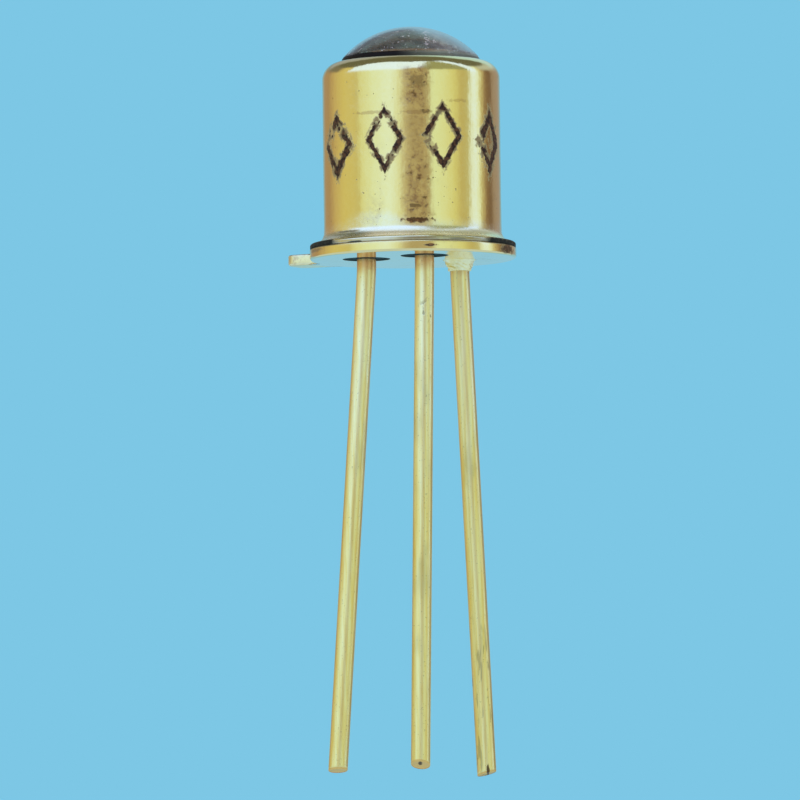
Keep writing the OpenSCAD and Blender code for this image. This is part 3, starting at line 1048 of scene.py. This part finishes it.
# the outside swells from the lead to the header; lumps only take metal off, more at mid height
def makeBead():
    low, high = boxOf("collector_weld")
    centre, wide = planOf("collector_weld")
    inner, top = mountOf("collector_pin")[2] + bead["gap"], high[2] - bead["gap"]
    first = inner + bead["lip"]
    share = np.linspace(0, 1, bead["rows"])[:, None]
    swell = first + (wide - first) * np.sin(share * pi / 2) ** 0.45
    outside = np.hstack([swell, low[2] * (1 - share ** 1.15)])
    rows = turned(np.vstack([[[inner, low[2]]], outside, [[wide, top]], [[inner, top]]]), bead["around"])
    turn = circle(bead["around"])
    coarse, fine = lumps(turn, share, 5, 10, 6, 0.9), lumps(turn, share, 8, 14, 15, 0.3)
    depth = bead["lump"] * (coarse * 1.6 + fine * 0.6) * np.sin(pi * share) ** 0.5
    rows[1:-2, :, :2] *= (1 - depth / swell)[:, :, None]
    rows[:, :, :2] += centre
    addPiece("collectorWeld", skin(rows, "ring"), makeWeldMetal(), "collector_weld")


makeBead()
print("weld bead made")


# Chip, its solder, pads and bond wires

chip = {
    "edge": 0.006,
    "cornerSteps": 10,
    "dieCorner": 0.012,
    "dieColours": ((0.05, 0.055, 0.1), (0.09, 0.08, 0.15)),
    "lineColour": (0.62, 0.62, 0.66),
    "solderCorner": 0.12,
    "solderWaver": 0.02,
    "solderColours": ((0.8, 0.66, 0.38), (0.7, 0.66, 0.55)),
    "padCorner": 0.02,
    "padColours": ((0.8, 0.8, 0.81), (0.92, 0.91, 0.9)),
}


# polished chip: dark passivated face with faint comb lines and a bright border, sawn sides
def makeSilicon():
    pen = paint("silicon")
    x, y, z = pen.at
    grain = pen.noise(30.0, 3.0)
    faceZ = boxOf("die")[1][2]
    top = z.rise(faceZ - 0.015, faceZ - 0.003)
    off = abs(x).higher(abs(y))
    comb = abs(pen.maths("PINGPONG", x + y, 0.06) - 0.03)
    lines = comb.rise(0.01, 0.005) * off.rise(0.33, 0.31) * top
    border = off.window(0.335, 0.35, 0.004) * top
    cover = (lines * 0.5 + border * 0.8).lower(1.0)
    colour = pen.blend(cover, pen.blend(grain, *chip["dieColours"]), chip["lineColour"])
    metallic = (lines * 0.6 + border * 0.8).lower(1.0)
    roughness = 0.12 + (1 - top) * 0.3 + grain * 0.05
    relief = (grain * (1 - top) + lines, 0.3, 0.002)
    return pen.finish(pen.principled(colour, metallic, roughness, relief, {"Coat Weight": top * 0.6}))


def makeSolder():
    pen = paint("solder")
    flow = pen.noise(7.0, 3.0)
    grain = pen.noise(40.0, 3.0)
    colour = pen.blend(flow, *chip["solderColours"])
    return pen.finish(pen.principled(colour, 1.0, 0.28 + grain * 0.2, (flow + grain * 0.3, 0.4, 0.004)))


# metal whose colour, roughness and relief follow one fine grain
def makeGrainyMetal(name, scale, colours, roughness, extra, strength):
    pen = paint(name)
    grain = pen.noise(scale, 3.0)
    colour = pen.blend(grain, *colours)
    return pen.finish(pen.principled(colour, 1.0, roughness + grain * extra, (grain, strength, 0.001)))


# outline of a rounded square: four quarter circles about points in from its corners
def roundedSquare(half, corner):
    out = half - corner
    return np.vstack([
        arc(x * out, y * out, corner, start, start + 90, chip["cornerSteps"])
        for x, y, start in ((1, 1, 0), (-1, 1, 90), (-1, -1, 180), (1, -1, 270))
    ])


# a slab of a node's box with a rounded outline and broken top and bottom edges
def makeSlab(name, material, node, corner, waver=0.0):
    low, high = boxOf(node)
    centre, half = planOf(node)
    edge = min(chip["edge"], (high - low)[2] * 0.35)
    turn = np.radians(np.linspace(0, 90, 4))
    insets, lifts = edge * (1 - np.sin(turn)), edge * (1 - np.cos(turn))
    levels = [*zip(insets, low[2] + lifts), *zip(insets[::-1], high[2] - lifts[::-1])]
    loops = []
    for inset, z in levels:
        loop = roundedSquare(half - inset, corner)
        heading = np.arctan2(loop[:, 1], loop[:, 0])
        loop = loop * (1 - waver * lumps(heading, 0.0, 3, 8, 7, 1.0))[:, None]
        loops.append(atHeight(loop + centre, z))
    addPiece(name, skin(np.array(loops)), material, node, 35.0)


padMetal = makeGrainyMetal("contactMetal", 60.0, chip["padColours"], 0.22, 0.15, 0.3)
makeSlab("chipDie", makeSilicon(), "die", chip["dieCorner"])
makeSlab("chipSolder", makeSolder(), "die_attach", chip["solderCorner"], chip["solderWaver"])
makeSlab("padEmitter", padMetal, "emitter_pad", chip["padCorner"])
makeSlab("padBase", padMetal, "base_pad", chip["padCorner"])

wires = {
    "colours": ((0.98, 0.74, 0.3), (0.99, 0.82, 0.44)),
    "radius": 0.02,
    "ballRadius": 0.05,
    "ballHeight": 0.04,
    "knee": 0.24,
    "peak": (0.2, 0.345),
    "landing": (0.05, 0.03),  # the loop meets the foot this far before its middle, and this high
    "slopes": ((0, 0.18), (0.02, 0.22), (0.45, -0.02), (0.25, -0.06)),
    "footHalf": 0.06,
    "footGap": 0.002,
    "footSink": 0.008,
    "footThin": 0.01,
    "pole": 0.004,  # smallest ring of the ball
    "around": 24,
}


# a smooth curve through the knots: cubic Hermite pieces with given slopes
def smoothPath(knots, slopes, steps):
    knots, slopes = np.array(knots), np.array(slopes)
    t = np.linspace(0, 1, steps, endpoint=False)[None, :, None]
    path = (2 * t ** 3 - 3 * t ** 2 + 1) * knots[:-1, None] + (t ** 3 - 2 * t ** 2 + t) * slopes[:-1, None]
    path = path + (3 * t ** 2 - 2 * t ** 3) * knots[1:, None] + (t ** 3 - t ** 2) * slopes[1:, None]
    return np.vstack([path.reshape(-1, 2), knots[-1:]])


# ball on the pad, wire up and over in one upright plane, foot pressed flat on the post. Paths
# are (along the plane, height); the foot widens and thins as sines.
def makeBondWire(lead, axis, metal):
    node, pad = lead + "_wire", lead + "_pad"
    radius, half, ballHeight = pick(wires, "radius", "footHalf", "ballHeight")
    (peakOut, peak), (before, above) = pick(wires, "peak", "landing")
    start, base, post = planOf(pad)[0], boxOf(pad)[1][2], boxOf("lead_" + lead)[1][2]
    foot = np.zeros(2)
    foot[axis] = boxOf(node)[0][axis] + half
    reach = np.linalg.norm(foot - start)
    heading = (foot - start) / reach
    share = np.linspace(0, pi, 13)
    ballPath = columns(share * 0, base + ballHeight * (1 - np.cos(share)) / 2)
    ballSize = np.maximum(wires["ballRadius"] * np.sin(share) ** 0.5, wires["pole"])
    ballSize[7:] = np.maximum(ballSize[7:], radius)
    knots = [(0, ballHeight), (0, wires["knee"]), (peakOut, peak), (reach - before, post + above - base)]
    path = smoothPath(knots, wires["slopes"], 22) + (0, base)
    pressed = np.linspace(0, 1, 9)[1:]
    footAlong = reach - before + pressed * (before + half - wires["footGap"])
    footHeight = post + above - wires["footSink"] * np.sin(pressed * pi / 2)
    footPath = columns(footAlong, footHeight)
    footWide = radius + (half - radius) * np.sin(pressed * pi * 0.75)
    footThick = radius - wires["footThin"] * np.sin(pressed * pi * 0.6)
    line = np.vstack([ballPath[:-1], path, footPath])
    body = np.append(ballSize[:-1], np.full(len(path), radius))
    wide, thick = (np.append(body, end)[:, None] for end in (footWide, footThick))
    ahead = np.gradient(line, axis=0)
    ahead[:13] = (0, 1)
    ahead = ahead / np.linalg.norm(ahead, axis=1)[:, None]
    aside = columns(-ahead[:, 1], ahead[:, 0])
    turn = circle(wires["around"])
    flat = line[:, None, :] + (thick * np.sin(turn))[:, :, None] * aside[:, None, :]
    square = np.array([-heading[1], heading[0]])
    plan = start + flat[:, :, :1] * heading + (wide * np.cos(turn))[:, :, None] * square
    rows = np.concatenate([plan, flat[:, :, 1:]], axis=-1)
    addPiece("wire" + lead.capitalize(), skin(rows), metal, node, 60.0)


wireGold = makeGrainyMetal("bondWireGold", 50.0, wires["colours"], 0.16, 0.12, 0.2)
makeBondWire("emitter", 0, wireGold)
makeBondWire("base", 1, wireGold)
print("chip and wires made")


# Studio

studio = {
    "backdrop": (0.205, 0.571, 0.783),
    "lowBackdrop": (0.285, 0.61, 0.83),  # nearer ground behind, as the header's underside mirrors it
    "ground": (0.56, 0.76, 0.9),
    "floor": ((0.2, 0.56, 0.77), (0.21, 0.58, 0.79)),
    "sky": (1.0, 0.99, 0.97),
    "skyStrength": 0.62,
    "softbox": (0.8, 1.18, 2.05),
    "dimRight": (0.32, 0.39, 0.25),
    "dimLeft": (0.2, 0.21, 0.18),
    "dark": (0.14, 0.16, 0.125),
    "rear": (0.36, 0.43, 0.5),
    "rearPale": (0.5, 0.8, 0.95),
    "rearRight": (0.5, 0.62, 0.68),
    "tentRadius": 180.0,
    "floorGap": 0.03,  # below the lead tips
    "floorRadius": 1500.0,
    "around": 96,
}

# what an upright surface mirrors, by direction round the object, in degrees from the camera
tentStops = [
    (-180, studio["backdrop"]), (-172, studio["backdrop"]),
    (-152, (0.4, 0.31, 0.21)), (-134, (0.4, 0.31, 0.2)),
    (-118, (0.56, 0.5, 0.27)), (-98, (0.64, 0.65, 0.31)), (-81, (0.62, 0.64, 0.31)),
    (-75, (0.58, 0.61, 0.32)), (-69, (0.7, 0.85, 0.57)), (-50, (0.75, 1.01, 0.92)),
    (-28, (0.78, 1.09, 1.24)), (-17, (0.73, 0.93, 0.78)),
    (-9, (0.54, 0.56, 0.4)), (-2, (0.44, 0.43, 0.3)), (20, (0.46, 0.44, 0.3)),
    (27, (0.74, 1.01, 0.88)), (43, (0.72, 0.92, 0.7)),
    (57, (0.68, 0.79, 0.44)), (68, (0.53, 0.53, 0.28)),
    (78, (0.52, 0.57, 0.33)), (83, (0.77, 1.05, 1.2)),
    (91, (0.78, 1.1, 1.5)), (97, (0.77, 1.03, 0.95)), (102, (0.56, 0.58, 0.36)),
    (108, (0.4, 0.36, 0.24)), (114, (0.23, 0.17, 0.12)), (123, (0.18, 0.13, 0.1)),
    (131, (0.34, 0.3, 0.28)), (152, (0.36, 0.33, 0.32)),
    (172, studio["backdrop"]), (180, studio["backdrop"]),
]


# the stops' colours by the direction, stored as shares of the brightest channel
def tentBands(pen, aside):
    peak = max(max(colour) for _, colour in tentStops)
    bands = pen.add("ValToRGB", inputs={0: aside / 360 + 0.5})
    elements = bands.socket.node.color_ramp.elements
    while len(elements) < len(tentStops):
        elements.new(1.0)
    for element, (degrees, colour) in zip(elements, tentStops):
        element.position = (degrees + 180) / 360
        element.color = (*(channel / peak for channel in colour), 1.0)
    return pen.add("VectorMath", {"operation": "SCALE"}, {0: bands, 3: peak})


def addStage(name, shell, material):
    stage = addObject(name, shell, material, False)
    return stage


# a dome of light round the object: bands near the horizon, a softbox above on the left and in
# front, an upright strip light on the right, dark cloth overhead and dimmer cards behind
def makeTent():
    pen = paint("tentLight")
    x, y, z = pen.at
    flat = radialOf(pen.at)
    reach = (flat * flat + z * z) ** 0.5
    front = (x * cos(facing) + y * sin(facing)) / reach
    right = (y * cos(facing) - x * sin(facing)) / reach
    up = z / reach
    aside = inDegrees(sideways(pen))
    above = inDegrees(pen.maths("ARCTAN2", z, flat))
    boxTop = (right.lower(0.0) * 0.46 + 0.42 - right.higher(0.0) * 0.5).higher(-0.06)
    lowEdge = 15 + aside.window(-3, 20, 5) * 9
    box = front.rise(boxTop - 0.03, boxTop + 0.03) * right.rise(0.31, 0.21)
    box = box * above.rise(lowEdge - 8, lowEdge + 8) * aside.rise(-108, -92)
    # the strip light stands on the right and leans forward at its top
    strip = abs(front - (up * 0.25 - 0.03)).rise(0.125, 0.085) * right.rise(0.28, 0.5) * above.rise(6, 12)
    rear = pen.blend(right.rise(-0.03, 0.1), studio["rear"], studio["rearPale"])
    colour = pen.coats(
        tentBands(pen, aside),
        (above.rise(-7, -16), studio["ground"]),
        (abs(aside).rise(140, 160) * above.window(-40, 0, 3), studio["lowBackdrop"]),
        # overhead: dim on the right, dark behind the lights' edges
        (aside.window(18, 82, 4) * above.rise(10, 22), studio["dimRight"]),
        (aside.rise(99, 106) * above.rise(14, 26), studio["rearRight"]),
        (aside.rise(-104, -118) * above.rise(14, 24), studio["dimLeft"]),
        (front.rise(boxTop + 0.05, boxTop - 0.05) * up.rise(0.5, 0.62), studio["dark"]),
        (box, studio["softbox"]),
        (strip, studio["softbox"]),
        (abs(aside).rise(138, 152) * above.window(22, 56, 6), rear),
    )
    light = pen.finish(pen.add("Emission", inputs={0: colour, 1: 1.0}))
    light.cycles.emission_sampling = "NONE"
    shell = skin(turned(arc(0, 0, studio["tentRadius"], -89.5, 89.5, 60), studio["around"]))
    tent = addStage("tent", shell, light)
    tent.visible_camera = False
    tent.visible_diffuse = False
    tent.visible_shadow = False


# pale floor just under the lead tips; from below it is clear, as the photograph's view needs
def makeFloor():
    pen = paint("floorPaint")
    colour = pen.blend(pen.noise(0.02), *studio["floor"])
    matt = pen.add("BsdfDiffuse", inputs={0: colour})
    clear = pen.add("BsdfTransparent")
    below = pen.add("NewGeometry", out=6)
    level = cadLow[2] / metre - studio["floorGap"]
    rows = turned(np.array([(studio["floorRadius"], level), (1.0, level)]), studio["around"])
    points, quads, tris = skin(rows)
    shell = points, quads, tris[studio["around"]:]
    floor = addStage("floor", shell, pen.finish(pen.mix(below, matt, clear)))
    floor.visible_glossy = False


# the backdrop for what looks at it, a neutral soft sky for what it lights
def makeWorld():
    pen = Pen(bpy.data.worlds.new("studio"))
    bpy.context.scene.world = pen.owner
    kinds = ("Is Camera Ray", "Is Glossy Ray", "Is Transmission Ray")
    shown = highest(pen.add("LightPath", out=kind) for kind in kinds)
    sky = pen.add("Background", inputs={0: (*studio["sky"], 1.0), 1: studio["skyStrength"]})
    backdrop = pen.add("Background", inputs={0: (*studio["backdrop"], 1.0), 1: 1.0})
    pen.finish(pen.mix(shown, sky, backdrop), "OutputWorld")


# broad lamps far away: name, degrees from the camera's side, degrees up, strength and softness
lamps = [
    ("lampLeft", -45.0, 48.0, 0.75, 40.0),
    ("lampRight", 60.0, 40.0, 0.55, 40.0),
    ("lampBack", 165.0, 55.0, 0.35, 50.0),
]
lampDistance = 150.0


def makeLamps():
    for name, aside, up, strength, softness in lamps:
        data = bpy.data.lights.new(name, "SUN")
        data.energy = strength
        data.angle = radians(softness)
        lamp = addToScene(name, data)
        turn, rise = facing + radians(aside), radians(up)
        way = Vector((cos(turn) * cos(rise), sin(turn) * cos(rise), sin(rise)))
        lamp.location = way * lampDistance * metre
        lamp.rotation_euler = way.to_track_quat("Z", "Y").to_euler()
        lamp.visible_glossy = False
        lamp.visible_transmission = False


makeTent()
makeFloor()
makeWorld()
makeLamps()
bpy.context.scene.view_settings.view_transform = "Standard"
print("studio lit")
